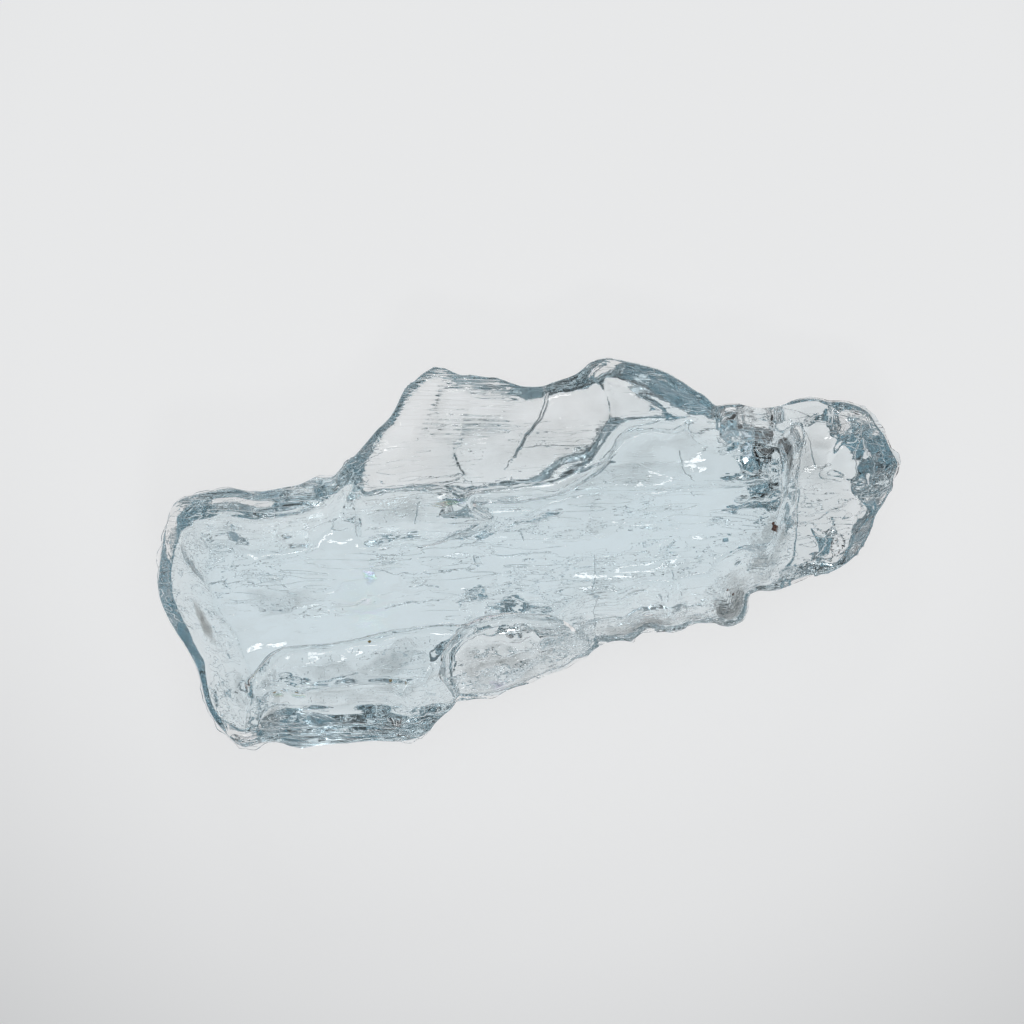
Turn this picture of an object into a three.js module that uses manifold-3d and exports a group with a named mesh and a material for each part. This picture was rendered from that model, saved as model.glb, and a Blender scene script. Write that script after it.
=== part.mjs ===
// A rough aquamarine crystal, one broken piece of clear beryl about 25 mm long.
//
// Frame: millimetres, origin under the middle of the piece on the surface it lies on.
// +X runs along the crystal's long axis, towards its pointed head; +Z is up, out of its
// broad front face; +Y points to the thin fin. The prism's own growth axis climbs a few
// degrees towards +Y along +X, and the striations and steps follow it.
//
// The piece is modelled as slabs, one for each level that the prism broke into. Each slab
// has an outline seen from the front, a rim where it is widest, and a front and a back
// face that are tilted planes. The slabs are joined, then steps and pits are cut into them.

import * as THREE from "three";
import { mergeVertices } from "three/addons/utils/BufferGeometryUtils.js";
import Module from "manifold-3d";

const wasm = await Module();
wasm.setup();

// Driving dimensions, in millimetres.
const FRONT = 6.2; // the trunk's front face above the surface
const GROWTH_TILT = THREE.MathUtils.degToRad(7); // growth axis above +X, seen from the front
const OUTLINE_STEP = 0.3; // spacing of the points along a smoothed outline
const ABOVE = 7.5; // a height clear of the front
const BELOW = -1; // a height clear of the back
const BACK_CORNER = { rise: 0.55, inset: 0.36 }; // where a slab's back edge turns, as shares
const FRONT_CORNER = { rise: 0.6, inset: 0.45 }; // the same between its rim and its front
const WELD = 1e-5; // points closer than this are one
const BALL_SIDES = 28; // around a conchoidal hollow
const BALL_RINGS = 18;
const BERYL = { color: 0xc9dde4, roughness: 0.05, metalness: 0 };

// ---------------------------------------------------------------- making and joining

// A closed geometry as a solid. Only its positions count.
function solidOf(geometry) {
  const bare = geometry.clone();
  bare.deleteAttribute("normal");
  bare.deleteAttribute("uv");
  const merged = mergeVertices(bare, WELD);
  return new wasm.Manifold(
    new wasm.Mesh({
      numProp: 3,
      vertProperties: new Float32Array(merged.attributes.position.array),
      triVerts: new Uint32Array(merged.index.array),
    }),
  );
}

// Points a fixed step apart on a closed smooth curve through the corners of an outline.
function smoothOutline(corners) {
  const curve = new THREE.CatmullRomCurve3(
    corners.map(([x, y]) => new THREE.Vector3(x, y, 0)),
    true,
    "centripetal",
  );
  const count = Math.round(curve.getLength() / OUTLINE_STEP);
  return curve
    .getSpacedPoints(count)
    .slice(0, count)
    .map((p) => new THREE.Vector2(p.x, p.y));
}

// A closed outline moved inwards. Each normal is taken over a few neighbours, so that
// tight corners don't cross.
function inset(points, distance, neighbours = 1) {
  const n = points.length;
  return points.map((p, i) => {
    const before = points[(i - neighbours + n) % n];
    const after = points[(i + neighbours) % n];
    const along = after.clone().sub(before).normalize();
    return new THREE.Vector2(p.x - along.y * distance, p.y + along.x * distance);
  });
}

// A tilted plane as a height: level at (0, 0), and its slopes along X and Y.
const heightOn = ([level, alongX, alongY], p) => level + alongX * p.x + alongY * p.y;

// The plane a share of the way from one plane to another.
const between = (a, b, share) => a.map((v, i) => v + (b[i] - v) * share);

// A closed solid through rings of points, each ring on its own plane, lowest first.
function loft(rings) {
  const n = rings[0].points.length;
  const vertices = rings.flatMap(({ plane, points }) =>
    points.flatMap((p) => [p.x, p.y, heightOn(plane, p)]),
  );
  const faces = [];
  for (let r = 0; r + 1 < rings.length; r++)
    for (let i = 0; i < n; i++) {
      const j = (i + 1) % n;
      const [a, b, c, d] = [r * n + i, r * n + j, (r + 1) * n + j, (r + 1) * n + i];
      faces.push(a, b, c, a, c, d);
    }
  const last = (rings.length - 1) * n;
  for (const [a, b, c] of THREE.ShapeUtils.triangulateShape(rings.at(-1).points, []))
    faces.push(last + a, last + b, last + c);
  for (const [a, b, c] of THREE.ShapeUtils.triangulateShape(rings[0].points, []))
    faces.push(a, c, b);
  const geometry = new THREE.BufferGeometry();
  geometry.setAttribute("position", new THREE.Float32BufferAttribute(vertices, 3));
  geometry.setIndex(faces);
  return solidOf(geometry);
}

// A slab between a back and a front plane. Its side runs from the inset back outline out to
// the rim and in again to the inset front outline, so that every edge is a wedge.
function slab({ outline, back, rim, front, backInset, frontInset }) {
  const edge = smoothOutline(outline);
  const inner = (distance) => inset(edge, distance, Math.max(1, Math.ceil(distance / OUTLINE_STEP)));
  return loft([
    { plane: back, points: inner(backInset) },
    { plane: between(back, rim, BACK_CORNER.rise), points: inner(backInset * BACK_CORNER.inset) },
    { plane: rim, points: edge },
    { plane: between(rim, front, FRONT_CORNER.rise), points: inner(frontInset * FRONT_CORNER.inset) },
    { plane: front, points: inner(frontInset) },
  ]);
}

// The corners of a region seen from the front, in counter-clockwise order.
function counterClockwise(region) {
  const corners = region.map(([x, y]) => new THREE.Vector2(x, y));
  return THREE.ShapeUtils.isClockWise(corners) ? corners.reverse() : corners;
}

// What a cut takes away: all that is above a plane, within a region seen from the front.
function aboveIn(region, plane) {
  const foot = counterClockwise(region);
  return loft([
    { plane, points: foot },
    { plane: [ABOVE, 0, 0], points: foot },
  ]);
}

// The same from behind: all that is below a plane, within a region.
function belowIn(region, plane) {
  const roof = counterClockwise(region);
  return loft([
    { plane: [BELOW, 0, 0], points: roof },
    { plane, points: roof },
  ]);
}

// A conchoidal hollow: an ellipsoid, turned about Z and then placed.
function hollow(centre, radii, turn = GROWTH_TILT) {
  const ball = new THREE.SphereGeometry(1, BALL_SIDES, BALL_RINGS);
  ball.scale(...radii);
  ball.rotateZ(turn);
  ball.translate(...centre);
  return solidOf(ball);
}

// ---------------------------------------------------------------- the slabs

// The trunk, from the rounded broken end to the neck before the head.
const trunk = () =>
  slab({
    outline: [
      [-12.42, -0.6], [-12.38, -1.5], [-12.1, -2.2], [-11.7, -2.9], [-11.27, -3.65],
      [-11.1, -4.15], [-10.98, -4.6], [-10.85, -5.1], [-10.6, -5.6], [-10.2, -6.1],
      [-9.85, -6.42], [-9.5, -6.6], [-9.0, -6.46], [-8.4, -6.4], [-7.75, -6.6],
      [-7.2, -6.52], [-6.2, -6.45], [-5.2, -6.38], [-4.2, -6.36], [-3.7, -6.25],
      [-3.3, -6.02], [-3.0, -5.65], [-2.55, -5.4], [-2.4, -4.95], [-2.7, -4.0],
      [-2.2, -2.9], [-1.0, -2.4], [0.6, -2.45], [1.6, -2.8], [2.35, -3.03],
      [2.9, -3.04], [3.4, -3.0], [3.72, -2.78], [4.05, -2.56], [4.5, -2.67],
      [5.0, -2.6], [5.4, -2.38], [6.2, -2.34], [6.9, -2.0], [7.2, -1.5],
      [7.7, -1.2], [8.3, -0.6], [8.6, 1.0], [8.5, 3.0], [8.1, 4.75],
      [7.6, 5.07], [7.1, 5.02], [6.5, 4.98], [5.9, 4.8], [4.7, 4.6],
      [3.2, 4.3], [2.6, 3.7], [2.2, 3.0], [0.8, 2.3], [-0.6, 2.0],
      [-2.3, 2.0], [-3.9, 1.8], [-5.6, 1.7], [-6.3, 2.5], [-6.9, 2.68], [-7.35, 2.45],
      [-7.8, 2.33], [-8.5, 2.18], [-9.15, 2.08], [-9.85, 2.2], [-10.6, 2.12],
      [-11.3, 1.97], [-11.72, 1.8], [-11.95, 1.55], [-12.1, 1.1], [-12.33, 0.3],
    ],
    back: [0, 0, 0],
    rim: [3.0, 0.02, 0.1],
    front: [FRONT, -0.01, 0.0],
    backInset: 0.5,
    frontInset: 0.3,
  });

// The thin fin that stands out on the +Y side.
const fin = () =>
  slab({
    outline: [
      [-6.4, 1.2], [-3, 0.6], [2, 1.2], [5.2, 3.2], [6.3, 4.6], [6.12, 4.98],
      [5.85, 5.3], [5.5, 5.5], [5.1, 5.8], [4.7, 6.05], [4.2, 6.25], [3.6, 6.4],
      [3.1, 6.5], [2.6, 6.6], [2.2, 6.52], [1.95, 6.4], [1.7, 6.1], [1.3, 5.88],
      [0.8, 5.75], [0.4, 5.62], [-0.1, 5.62], [-0.6, 5.75], [-1.0, 5.9],
      [-1.5, 5.92], [-1.9, 6.02], [-2.3, 6.0], [-2.6, 6.15], [-3.0, 6.27],
      [-3.5, 6.12], [-3.9, 5.8], [-4.3, 5.4], [-4.5, 4.9], [-4.75, 4.5],
      [-5.1, 4.25], [-5.5, 3.75], [-5.9, 3.3], [-6.25, 2.98], [-6.6, 2.6],
    ],
    back: [0.5, 0, 0.2],
    rim: [3.0, 0.03, 0.02],
    front: [4.8, 0.03, -0.13],
    backInset: 0.62,
    frontInset: 0.4,
  });

// The pointed head at the +X end.
const head = () =>
  slab({
    outline: [
      [7.3, -1.0], [7.6, -1.25], [8.0, -1.28], [8.5, -1.2], [9.0, -1.02],
      [9.6, -0.68], [10.1, -0.45], [10.65, -0.2], [11.02, 0.1], [11.1, 0.5],
      [11.35, 1.2], [11.9, 2.0], [12.43, 2.95], [12.2, 3.5], [11.95, 4.0], [11.67, 4.35],
      [11.4, 4.8], [10.9, 5.04], [10.45, 5.16], [10.0, 5.13], [9.6, 5.27],
      [9.1, 5.22], [8.5, 5.1], [8.0, 5.02], [7.4, 4.4], [7.2, 2.2],
    ],
    back: [-1.4, 0.22, 0],
    rim: [2.4, 0.06, 0],
    front: [7.0, -0.17, -0.04],
    backInset: 0.6,
    frontInset: 0.35,
  });

// The clear thin flake along the head's lower edge.
const flake = () =>
  slab({
    outline: [
      [8.6, -1.0], [9.0, -1.05], [9.4, -0.87], [9.8, -0.76], [10.3, -0.6],
      [10.7, -0.37], [11.1, 0.0], [11.3, 0.35], [11.5, 0.8], [11.72, 1.3],
      [12.0, 1.85], [12.2, 2.45], [11.4, 2.6], [10.2, 1.4], [9.0, 0.4],
    ],
    back: [1.2, 0.08, 0],
    rim: [1.6, 0.08, 0],
    front: [2.4, 0.08, 0.05],
    backInset: 0.3,
    frontInset: 0.3,
  });

// The low ledge under the trunk.
const ledge = () =>
  slab({
    outline: [
      [-3.4, -3.0], [-2.9, -4.8], [-2.35, -5.02], [-1.6, -4.95], [-0.9, -4.8],
      [0.0, -4.42], [0.5, -4.15], [1.2, -3.9], [1.45, -3.74], [1.6, -3.58],
      [2.1, -3.46], [2.1, -2.2], [0, -1.6], [-2.6, -2.0],
    ],
    back: [0.7, 0, 0.1],
    rim: [1.5, 0.03, 0.03],
    front: [5.2, 0.1, 0.42],
    backInset: 0.35,
    frontInset: 0.3,
  });

// Small terraces that climb along the lower edge to the right.
function terraces() {
  const steps = [
    { from: [1.2, -3.6], to: [2.34, -3.42], height: 3.9 },
    { from: [2.2, -3.06], to: [3.5, -3.02], height: 4.6 },
    { from: [3.9, -2.6], to: [5.3, -2.62], height: 5.1 },
  ];
  return steps.map(({ from: [x0, y0], to: [x1, y1], height }) =>
    slab({
      outline: [
        [x0, y0], [(x0 + x1) / 2, (y0 + y1) / 2 - 0.04], [x1, y1],
        [x1 + 0.02, y1 + 0.8], [x1 - 0.1, y1 + 1.6], [x0, y0 + 1.6], [x0 - 0.1, y0 + 0.8],
      ],
      back: [0.9, 0, 0],
      rim: [1.9, 0, 0.05],
      front: [height, 0, 0.05],
      backInset: 0.25,
      frontInset: 0.16,
    }),
  );
}

// The cloudy knob at the neck's lower edge.
const knob = () =>
  slab({
    outline: [
      [6.0, -2.1], [6.2, -2.36], [6.5, -2.5], [6.95, -2.4], [7.25, -2.1],
      [7.3, -1.45], [7.45, -0.6], [6.8, 0], [6.0, -0.8],
    ],
    back: [1.2, 0, 0],
    rim: [2.6, 0, 0],
    front: [5.2, 0, 0.2],
    backInset: 0.3,
    frontInset: 0.36,
  });

// ---------------------------------------------------------------- cuts in the front

function frontCuts() {
  return [
    // the bevel along the upper left edge, and the gentle face that leads to it
    aboveIn(
      [[-13.4, 1.15], [-10.4, 1.28], [-8.0, 1.12], [-5.5, 1.2], [-5.5, 3.4], [-13.4, 3.4]],
      [8.36, 0, -2.05],
    ),
    aboveIn([[-13.4, -0.2], [-5.5, 0.1], [-5.5, 2.2], [-13.4, 2.2]], [6.25, 0, -0.3]),
    // the slanting facet between the trunk and the fin
    aboveIn(
      [[-5.75, 3.2], [-5.6, 0.12], [-3.5, 0.3], [-1.9, 0.72], [-1.1, 1.05], [-1.9, 1.5],
       [-2.2, 2.9]],
      [6.3, -0.02, -1.05],
    ),
    // the face that falls gently to the fin
    aboveIn([[-2.1, 1.6], [2.6, 2.0], [6.2, 2.2], [8.3, 2.4], [8.3, 6], [-2.2, 4]], [6.9, 0, -0.42]),
    // the lower panel, and the steep prism face under it
    aboveIn(
      [[-8.5, -3.5], [-8.0, -3.12], [-6.5, -3.05], [-5.5, -2.85], [-4.4, -2.55], [-2.7, -2.4],
       [-1.7, -2.5], [-2.2, -7.2], [-9.3, -7.2], [-9.2, -5.2], [-9.3, -4.4]],
      [6.35, 0.01, 0.13],
    ),
    aboveIn([[-8.7, -4.9], [-2.2, -4.97], [-2.0, -7.2], [-9.4, -7.2]], [14.0, 0.05, 1.62]),
    // the oval window at the lower left corner
    aboveIn(
      [[-11.8, -3.6], [-10.7, -3.85], [-10.0, -3.9], [-9.4, -4.3], [-9.05, -5.0], [-8.95, -5.7],
       [-8.95, -7.4], [-12.4, -7.4]],
      [8.9, 0.16, 0.32],
    ),
    aboveIn([[-12.4, -5.6], [-10.6, -5.85], [-9.0, -5.8], [-9.0, -7.4], [-12.4, -7.4]], [16.7, 0, 1.9]),
    // the broken end, which rounds off gently
    aboveIn([[-13.4, -6], [-10.6, -6], [-10.9, -2.6], [-11.0, 3], [-13.4, 3]], [11.1, 0.45, 0]),
    // the head's facets
    aboveIn([[11.1, 0.4], [13.2, 0.4], [13.2, 6], [11.0, 6]], [18.6, -1.22, 0]),
  ];
}

// ---------------------------------------------------------------- cuts in the back

function backCuts() {
  return [
    // hollows where the back broke away under the edges
    hollow([-6.0, -8.1, 0.6], [5.0, 2.8, 2.8], 0),
    hollow([-13.1, -2.6, 0.6], [2.0, 3.6, 2.6], 0),
    // notches across the neck
    belowIn([[6.4, 3.0], [6.95, 3.0], [6.95, 4.45], [6.4, 4.45]], [-10.5, 1.9, 0]),
    belowIn([[7.1, 2.2], [7.9, 2.25], [7.75, 3.7], [7.1, 3.6]], [15.0, -1.8, 0]),
    belowIn([[7.9, 3.4], [8.35, 3.5], [8.4, 5.4], [7.8, 5.4]], [-12.6, 1.75, 0]),
    // steep facets that throw light back
    belowIn([[-2.75, 0.55], [-1.6, 0.75], [-1.2, 1.05], [-1.95, 1.45]], [0.2, 0, 1.5]),
    belowIn([[-2.5, -1.7], [-2.25, -1.8], [-1.5, -0.95], [-1.8, -0.85]], [-2.6, -1.4, -1.0]),
    belowIn([[-1.0, -2.3], [-0.1, -2.2], [-0.55, -0.95]], [3.0, 1.2, 0.9]),
    belowIn([[8.2, -1.0], [9.1, -1.15], [9.8, -0.4], [9.3, -0.2], [8.6, -0.45]], [1.5, 0, -1.7]),
    belowIn([[11.0, 2.0], [11.7, 1.4], [12.4, 2.9], [11.2, 4.0]], [-8.6, 0.9, 0]),
  ];
}

// ---------------------------------------------------------------- the whole piece

function crystalSolid() {
  const slabs = [trunk(), fin(), head(), flake(), ledge(), ...terraces(), knob()];
  const [whole, ...others] = slabs;
  const carvedTrunk = frontCuts().reduce((rest, cut) => rest.subtract(cut), whole);
  const joined = others.reduce((sum, piece) => sum.add(piece), carvedTrunk);
  return backCuts().reduce((rest, cut) => rest.subtract(cut), joined);
}

function crystalMesh() {
  const made = crystalSolid().getMesh();
  const geometry = new THREE.BufferGeometry();
  geometry.setAttribute("position", new THREE.BufferAttribute(made.vertProperties, 3));
  geometry.setIndex(new THREE.BufferAttribute(made.triVerts, 1));
  geometry.computeVertexNormals();
  const mesh = new THREE.Mesh(geometry, new THREE.MeshStandardMaterial(BERYL));
  mesh.name = "aquamarine_crystal";
  return mesh;
}

const part = new THREE.Group();
part.add(crystalMesh());

export default part;
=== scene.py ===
"""The looks of a rough aquamarine crystal: one clear piece of beryl that lies on a pale surface.

Lengths are in millimetres while a mesh is being shaped, and become metres in place(). +X runs
along the crystal to its pointed head, +Y to its thin fin, and +Z out of its broad front face.
"""

import math

import bmesh
import bpy
import numpy as np
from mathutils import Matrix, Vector
from mathutils.bvhtree import BVHTree


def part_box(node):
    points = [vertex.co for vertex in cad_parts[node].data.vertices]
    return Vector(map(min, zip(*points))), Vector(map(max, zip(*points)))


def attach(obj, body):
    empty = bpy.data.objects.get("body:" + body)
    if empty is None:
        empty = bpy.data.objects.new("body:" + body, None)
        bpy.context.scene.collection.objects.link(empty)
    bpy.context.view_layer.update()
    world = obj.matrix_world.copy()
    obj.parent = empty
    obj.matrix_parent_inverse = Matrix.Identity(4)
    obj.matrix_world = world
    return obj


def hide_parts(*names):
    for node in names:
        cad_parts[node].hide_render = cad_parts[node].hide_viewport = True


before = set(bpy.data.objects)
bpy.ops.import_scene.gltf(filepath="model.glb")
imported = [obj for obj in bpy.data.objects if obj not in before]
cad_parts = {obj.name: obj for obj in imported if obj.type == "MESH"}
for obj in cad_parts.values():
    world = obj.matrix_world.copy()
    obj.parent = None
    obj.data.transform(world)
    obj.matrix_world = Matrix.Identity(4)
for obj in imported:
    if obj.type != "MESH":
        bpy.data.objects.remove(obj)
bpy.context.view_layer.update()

MM = 0.001
NODE = "aquamarine_crystal"
BODY = "root"
GRAIN = 0.1  # the edge length of the crystal's fine mesh
WELD = 0.001  # points closer than this are one
GROWTH = math.radians(7)  # the growth axis above +X, seen from the front
HIGH = [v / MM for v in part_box(NODE)[1]]  # the crystal's highest X, Y and Z

# In every call of noise() the factors are features for each millimetre, and the last number is
# the seed.


# ------------------------------------------------------------------ numbers and noise


def smooth(low, high, value):
    """0 below low, 1 above high, and a soft ramp between them."""
    share = np.clip((value - low) / (high - low), 0, 1)
    return share * share * (3 - 2 * share)


def lattice(i, j, seed):
    """A fixed random number from -1 to 1 for each pair of whole numbers."""
    mixed = (i * 374761393 + j * 668265263 + seed * 974634777) & 0xFFFFFFFF
    mixed = ((mixed ^ (mixed >> 13)) * 1274126177) & 0xFFFFFFFF
    return ((mixed ^ (mixed >> 16)) & 0xFFFF) / 32767.5 - 1


def noise(u, v, seed):
    """Smooth noise from -1 to 1 with features about one unit across."""
    i = np.floor(u).astype(np.int64)
    j = np.floor(v).astype(np.int64)
    s = smooth(0, 1, u - i)
    t = smooth(0, 1, v - j)
    low = lattice(i, j, seed) * (1 - s) + lattice(i + 1, j, seed) * s
    high = lattice(i, j + 1, seed) * (1 - s) + lattice(i + 1, j + 1, seed) * s
    return low * (1 - t) + high * t


def stairs(level, riser):
    """Whole steps of a rising value, each with a riser that takes a share of its tread."""
    whole = np.floor(level)
    return whole + smooth(1 - riser, 1, level - whole)


def growth_axes(x, y):
    """Distances along the growth axis and across it."""
    along = x * math.cos(GROWTH) + y * math.sin(GROWTH)
    across = y * math.cos(GROWTH) - x * math.sin(GROWTH)
    return along, across


def patch(x, y, centre, reach, turn=0.0, edge=0.35):
    """1 inside an oval region seen from the front, fading to 0 over its edge."""
    c, s = math.cos(turn), math.sin(turn)
    u = ((x - centre[0]) * c + (y - centre[1]) * s) / reach[0]
    v = ((y - centre[1]) * c - (x - centre[0]) * s) / reach[1]
    return 1 - smooth(1 - edge, 1, np.hypot(u, v))


def slot(x, y, centre, reach, turn, edge=0.15):
    """1 inside a turned rectangle seen from the front, fading to 0 over its edge."""
    c, s = math.cos(turn), math.sin(turn)
    u = np.abs((x - centre[0]) * c + (y - centre[1]) * s) / reach[0]
    v = np.abs((y - centre[1]) * c - (x - centre[0]) * s) / reach[1]
    return 1 - smooth(1 - edge, 1, np.maximum(u, v))


# ------------------------------------------------------------------ meshes and pieces


def mesh_from(name, points, faces):
    """A mesh from points in millimetres."""
    mesh = bpy.data.meshes.new(name)
    mesh.from_pydata([tuple(p) for p in points], [], [tuple(f) for f in faces])
    return mesh


def coordinates(mesh):
    """The vertices of a mesh as an array of three columns."""
    flat = np.empty(len(mesh.vertices) * 3)
    mesh.vertices.foreach_get("co", flat)
    return flat.reshape(-1, 3)


def normals(mesh):
    """The vertex normals of a mesh as an array of three columns."""
    flat = np.empty(len(mesh.vertices) * 3)
    mesh.vertex_normals.foreach_get("vector", flat)
    return flat.reshape(-1, 3)


def set_coordinates(mesh, points):
    """Moves the vertices of a mesh."""
    mesh.vertices.foreach_set("co", np.ascontiguousarray(points).ravel())
    mesh.update()


def place(name, mesh, material):
    """Makes a mesh in millimetres a piece in metres, which rides on the crystal's body."""
    set_coordinates(mesh, coordinates(mesh) * MM)
    piece = bpy.data.objects.new(name, mesh)
    bpy.context.collection.objects.link(piece)
    mesh.materials.clear()
    mesh.materials.append(material)
    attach(piece, BODY)
    return piece


# ------------------------------------------------------------------ the crystal's own shape


def blank():
    """A fine, even mesh in the shape of the CAD node, in millimetres."""
    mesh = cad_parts[NODE].data.copy()
    work = bmesh.new()
    work.from_mesh(mesh)
    bmesh.ops.remove_doubles(work, verts=work.verts, dist=WELD * MM)
    bmesh.ops.scale(work, vec=(1 / MM, 1 / MM, 1 / MM), verts=work.verts)
    work.to_mesh(mesh)
    work.free()
    rough = bpy.data.objects.new("blank", mesh)
    bpy.context.collection.objects.link(rough)
    remesh = rough.modifiers.new("fine", "REMESH")
    remesh.mode = "VOXEL"
    remesh.voxel_size = GRAIN
    remesh.adaptivity = 0
    graph = bpy.context.evaluated_depsgraph_get()
    fine = bpy.data.meshes.new_from_object(rough.evaluated_get(graph))
    bpy.data.objects.remove(rough)
    return fine


def chips(points, spots):
    """Conchoidal chips: each pushes the surface out of a ball (x, y, z, radius)."""
    for *centre, radius in spots:
        away = points - np.array(centre)
        far = np.linalg.norm(away, axis=1)
        inside = far < radius
        points[inside] += away[inside] * (radius / far[inside] - 1)[:, None]
    return points


# The crystal's edge, clockwise from its broken end: x, y, and the width of the wedge facets there.
EDGE = (
    (-12.42, -0.6, 0.45), (-12.33, 0.3, 0.45), (-12.1, 1.1, 0.6), (-11.75, 1.8, 0.8),
    (-11.3, 1.97, 0.85), (-10.6, 2.12, 0.9), (-9.85, 2.2, 0.95), (-9.15, 2.08, 0.9),
    (-8.5, 2.18, 0.95), (-7.8, 2.32, 1.0), (-7.3, 2.45, 0.8), (-6.8, 2.72, 0.7),
    (-6.2, 3.0, 0.5), (-5.9, 3.3, 0.35), (-5.5, 3.75, 0.3), (-5.1, 4.25, 0.25),
    (-4.75, 4.5, 0.25), (-4.3, 5.4, 0.22), (-3.9, 5.8, 0.2), (-3.5, 6.12, 0.2),
    (-3.0, 6.27, 0.2), (-2.6, 6.15, 0.3), (-2.3, 6.0, 0.4), (-1.9, 6.02, 0.5),
    (-1.5, 5.92, 0.6), (-1.0, 5.9, 0.65), (-0.6, 5.75, 0.6), (-0.1, 5.62, 0.55),
    (0.4, 5.62, 0.5), (0.8, 5.75, 0.5), (1.3, 5.88, 0.6), (1.7, 6.1, 0.8),
    (1.95, 6.4, 1.0), (2.2, 6.52, 1.05), (2.6, 6.6, 1.1), (3.1, 6.5, 1.0),
    (3.6, 6.4, 1.0), (4.2, 6.25, 1.2), (4.7, 6.05, 1.3), (5.1, 5.8, 1.3),
    (5.5, 5.5, 1.1), (5.85, 5.3, 0.9), (6.15, 4.95, 0.5), (6.5, 5.0, 0.2),
    (7.1, 5.02, 0.15), (7.6, 5.08, 0.15), (8.0, 5.02, 0.15), (8.5, 5.1, 0.15),
    (9.1, 5.22, 0.15), (9.6, 5.27, 0.15), (10.0, 5.15, 0.2), (10.5, 5.15, 0.4),
    (10.9, 5.05, 0.6), (11.4, 4.8, 0.8), (11.65, 4.3, 0.9), (11.95, 4.0, 1.0),
    (12.2, 3.5, 1.1), (12.43, 2.95, 1.2), (12.15, 2.3, 1.0), (12.0, 1.8, 0.8),
    (11.7, 1.3, 0.35), (11.5, 0.8, 0.3), (11.3, 0.35, 0.3), (11.1, 0.0, 0.3),
    (10.7, -0.35, 0.25), (10.3, -0.6, 0.2), (9.8, -0.75, 0.4), (9.4, -0.85, 0.7),
    (9.0, -1.05, 0.75), (8.5, -1.2, 0.5), (8.0, -1.27, 0.2), (7.6, -1.25, 0.15),
    (7.3, -1.45, 0.15), (7.25, -2.1, 0.2), (6.95, -2.4, 0.2), (6.5, -2.5, 0.2),
    (6.2, -2.35, 0.2), (5.4, -2.37, 0.2), (5.0, -2.6, 0.2), (4.5, -2.67, 0.2),
    (4.0, -2.55, 0.25), (3.7, -2.8, 0.3), (3.4, -3.0, 0.3), (2.9, -3.04, 0.3),
    (2.35, -3.02, 0.3), (2.3, -3.4, 0.2), (1.6, -3.58, 0.2), (1.2, -3.9, 0.15),
    (0.5, -4.15, 0.15), (0.0, -4.42, 0.15), (-0.9, -4.8, 0.15), (-1.6, -4.95, 0.15),
    (-2.35, -5.02, 0.2), (-2.5, -5.35, 0.5), (-3.0, -5.65, 0.8), (-3.3, -6.05, 1.0),
    (-3.7, -6.25, 1.2), (-4.3, -6.35, 1.35), (-5.0, -6.38, 1.4), (-6.0, -6.42, 1.4),
    (-7.0, -6.52, 1.45), (-7.7, -6.6, 1.5), (-8.3, -6.42, 1.2), (-9.0, -6.45, 0.6),
    (-9.5, -6.6, 0.6), (-9.9, -6.4, 0.5), (-10.2, -6.1, 0.4), (-10.6, -5.6, 0.3),
    (-10.85, -5.1, 0.25), (-11.0, -4.5, 0.25), (-11.15, -4.0, 0.3), (-11.25, -3.7, 0.35),
    (-11.7, -2.9, 0.4), (-12.1, -2.2, 0.45), (-12.35, -1.6, 0.45),
)
FRONT_SLOPE = 0.85  # of the front facets that meet at the rim
BACK_SLOPE = 0.75  # of the back ones
FACET_JITTER = 0.2  # how much the facets' slopes vary, as a share
UNDERCUT = 1.25  # the back facet's width for each unit of the front one's
UNDERCUT_MORE = 0.1  # and what is added to that
RIM_HEIGHT = 3.0
# Where the rim is higher or lower: centre, reach, and by how much.
RIM_RISES = (((-9, 2), (4, 2.4), 0.4), ((-6, -6), (5, 2.6), 0.2), ((11, 2), (4, 5), -0.5))
RIM_WANDER = 0.35  # how far the rim climbs and falls along the outline
RIM_ROUND = 0.05  # half the thickness of the rim itself
FRONT_WALL = 2.0  # the slope of the front's walls past the wedge
BACK_WALL = 4.5  # and of the back's
HEAD = ((11.2, 1.6), (3.4, 4.6), 0.0)  # centre, reach and turn of the head
HEAD_SLOPE = 0.6  # of the front past the wedge there
FIN_SLOPE = 0.36  # of the fin's front past the wedge
FIN_BACK_SLOPE = 0.4  # and of its back
FIN_BLEND = (-0.2, 1.0)  # how far past its foot the fin's slopes begin, and hold
FIN_LEFT = (-6.4, -5.6)  # the X over which the fin begins
# Spots where the back is flat under the front facet, so that light passes: x, y, reach, turn.
CLEAR_SPOTS = (
    ((2.62, 6.0), (0.2, 0.5), math.radians(-33)),
    ((-11.75, 0.5), (0.35, 0.7), math.radians(20)),
    ((-9.6, -5.2), (0.5, 0.9), 0.0),
)
FLATTER = 0.6  # how much flatter the back facets are where they are broken
# The X and the Y over which the broken facets begin: on the broken end, and on the tip.
BROKEN_SIDES = (((-6, -7), (-4.2, -3.2)), ((9, 10), (1, 2)))
BROKEN_MORE = 0.6  # how many more are broken at the very end
BROKEN_MOST = (-11, -11.6)  # the X over which they become so many
THIN_EDGE = ((11.6, 0.5), (1.3, 2.4), math.radians(-30))  # the clear flake beside the head
THIN_SLOPE = 0.5  # of its back past the wedge
THIN_LESS = 0.5  # how much less it is undercut
RAGGED = 0.04  # how far the outline wanders inwards
RAGGED_DEPTH = 1.2  # how far inside the edge that ends
NECK_START = 7.0  # where the front starts to fall towards the head
NECK_FALL = 0.42  # how fast it falls
NECK_HEIGHT = 5.55  # where it ends
NECK_TOP = 3.2  # the Y up to which it falls
# Where the front starts to fall towards the fin: x and y along the line.
FIN_FOOT = ((-6.2, 1.0), (-5.6, 0.9), (0.0, 1.2), (2.2, 2.1), (3.0, 3.2), (5.0, 4.1), (5.6, 6.0))
FIN_FALL = 0.85  # how fast it falls
FIN_HEIGHT = 4.6  # where it meets the fin's own front


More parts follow.
